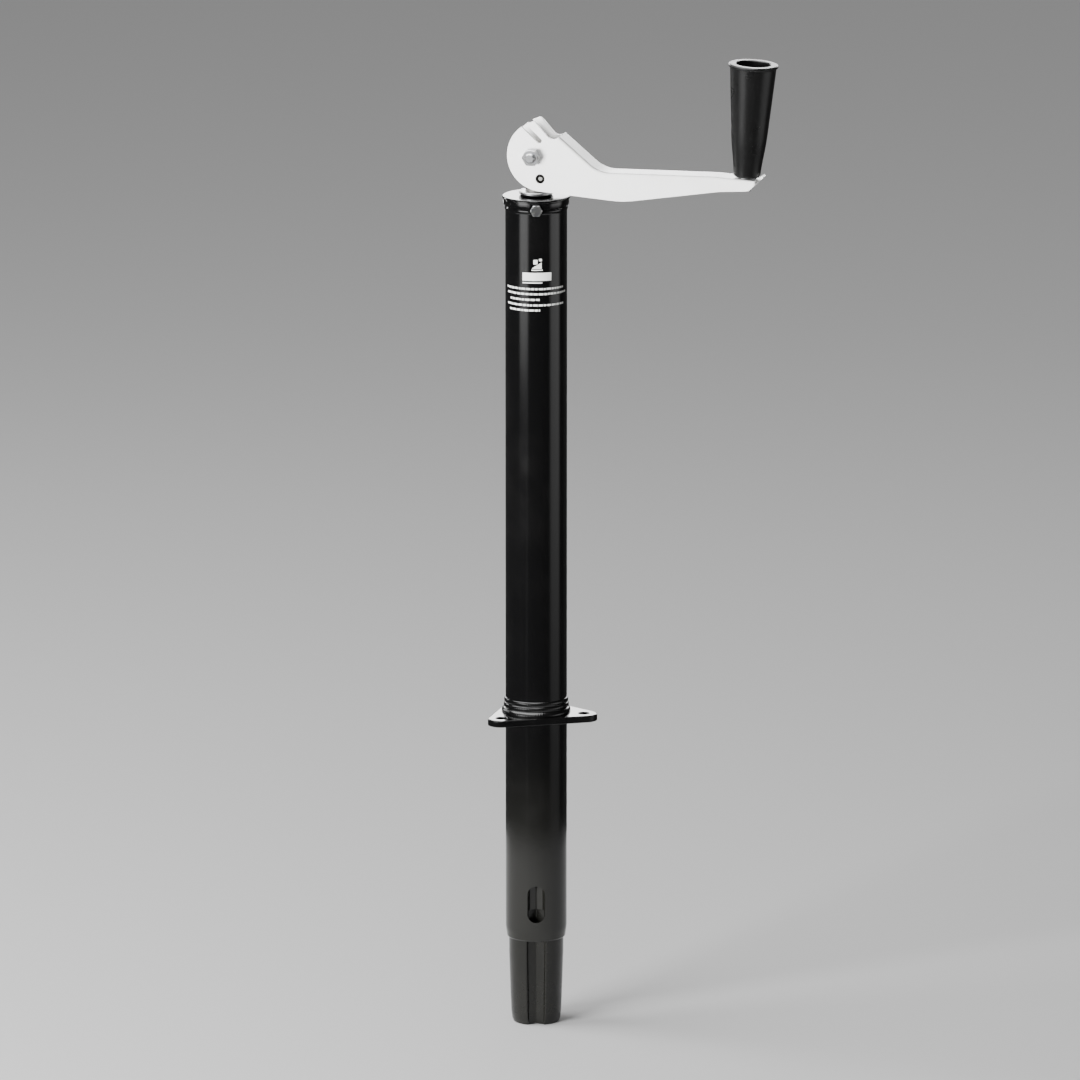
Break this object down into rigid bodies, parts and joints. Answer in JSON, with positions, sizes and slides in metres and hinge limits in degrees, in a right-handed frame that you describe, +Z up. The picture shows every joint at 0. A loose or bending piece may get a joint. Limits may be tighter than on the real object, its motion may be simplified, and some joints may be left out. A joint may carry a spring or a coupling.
{
  "type": "trailer tongue jack",
  "caption": "Round-tube trailer tongue jack: folding top crank with tapered grip, bolt-on triangular flange and a keyed telescoping ram.",
  "frame": {"origin": "centre of the mounting flange's underside, on the tube's axis", "axes": "+Z up the tube towards the crank; +X the way the crank arm and one flange bolt point at rest"},
  "size_m": [0.2647, 0.1044, 0.9204],
  "materials": {
    "black_paint": "gloss",
    "ram_paint": "gloss",
    "white_paint": "gloss",
    "zinc": "bright zinc plate",
    "pin_steel": "bare spring steel",
    "screw_steel": "machined, greased",
    "bearing_steel": "ground and polished",
    "pressed_steel": "pressed steel",
    "bronze": "sintered",
    "black_plastic": "satin, moulded"
  },
  "bodies": {
    "housing": {"outer_tube": "black_paint", "mounting_flange": "black_paint", "flange_weld": "black_paint", "top_cap": "black_paint", "cap_screws": "zinc", "cap_bushing": "bronze", "bearing_upper_race": "bearing_steel"},
    "screw": {"lead_screw": "screw_steel", "thrust_collar": "screw_steel", "collar_pin": "pin_steel", "bearing_lower_race": "bearing_steel", "shaft_washer": "zinc", "screw_stop_washer": "screw_steel", "screw_stop_pin": "pin_steel"},
    "bearing": {"bearing_cage": "pressed_steel", "bearing_balls": "bearing_steel"},
    "ram": {"ram_tube": "ram_paint", "drive_nut": "pressed_steel", "ram_end_plate": "ram_paint"},
    "crank": {"crank_arm": "white_paint", "pivot_bolt": "zinc", "pivot_nut": "zinc", "stop_pin": "pin_steel", "grip_bolt": "zinc", "grip_nut": "zinc", "grip_washer": "zinc"},
    "grip": {"grip": "black_plastic"}
  },
  "joints": [
    {"name": "crank_turn", "type": "hinge", "parent": "housing", "child": "screw", "pos_m": [0, 0, 0.4969], "axis": [0, 0, -1], "range_deg": [0, 27000]},
    {"name": "ram_extend", "type": "slide", "parent": "housing", "child": "ram", "axis": [0, 0, -1], "range_m": [0, 0.381]},
    {"name": "bearing_turn", "type": "hinge", "parent": "housing", "child": "bearing", "pos_m": [0, 0, 0.4836], "axis": [0, 0, -1], "range_deg": [0, 13500]},
    {"name": "handle_fold", "type": "hinge", "parent": "screw", "child": "crank", "pos_m": [0, 0, 0.5336], "axis": [0, -1, 0], "range_deg": [0, 210]},
    {"name": "grip_spin", "type": "hinge", "parent": "crank", "child": "grip", "pos_m": [0.2005, 0, 0.52141], "axis": [0.0558, 0, 0.9984], "continuous": true}
  ],
  "couplings": [
    {"joint": "ram_extend", "follows": "crank_turn", "m_per_rad": 0.00080851},
    {"joint": "bearing_turn", "follows": "crank_turn", "ratio": 0.5}
  ]
}
